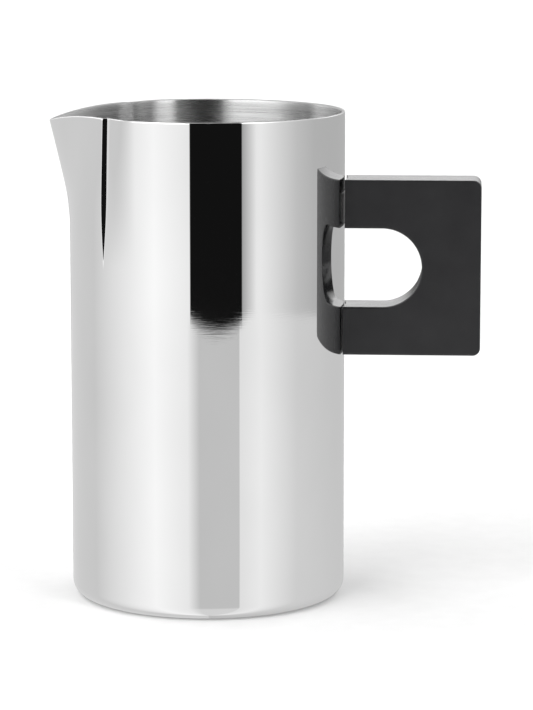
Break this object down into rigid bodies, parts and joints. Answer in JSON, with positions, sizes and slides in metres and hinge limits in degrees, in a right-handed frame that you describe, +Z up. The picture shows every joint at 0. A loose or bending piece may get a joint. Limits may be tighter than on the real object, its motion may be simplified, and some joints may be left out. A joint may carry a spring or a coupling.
{
  "type": "wax melting and pouring pot",
  "caption": "Tall cylindrical stainless pouring pot with a pulled lip at the rim and a black C-shaped block handle, for melting and pouring candle wax.",
  "frame": {"origin": "centre of the flat base, on the vessel's axis", "axes": "+Z up along the vessel's axis, +X towards the handle, -X towards the pouring lip"},
  "size_m": [0.1415, 0.09, 0.16],
  "materials": {
    "polished_steel": "mirror-polished stainless steel outside, finely brushed round the inside",
    "black_plastic": "satin, finely textured",
    "lug_steel": "plain stainless",
    "fastener_steel": "plain stainless"
  },
  "bodies": {
    "root": {"vessel_body": "polished_steel", "handle_grip": "black_plastic", "upper_lug": "lug_steel", "lower_lug": "lug_steel", "upper_screw": "fastener_steel", "lower_screw": "fastener_steel", "upper_spring_washer": "fastener_steel", "lower_spring_washer": "fastener_steel"}
  },
  "joints": []
}
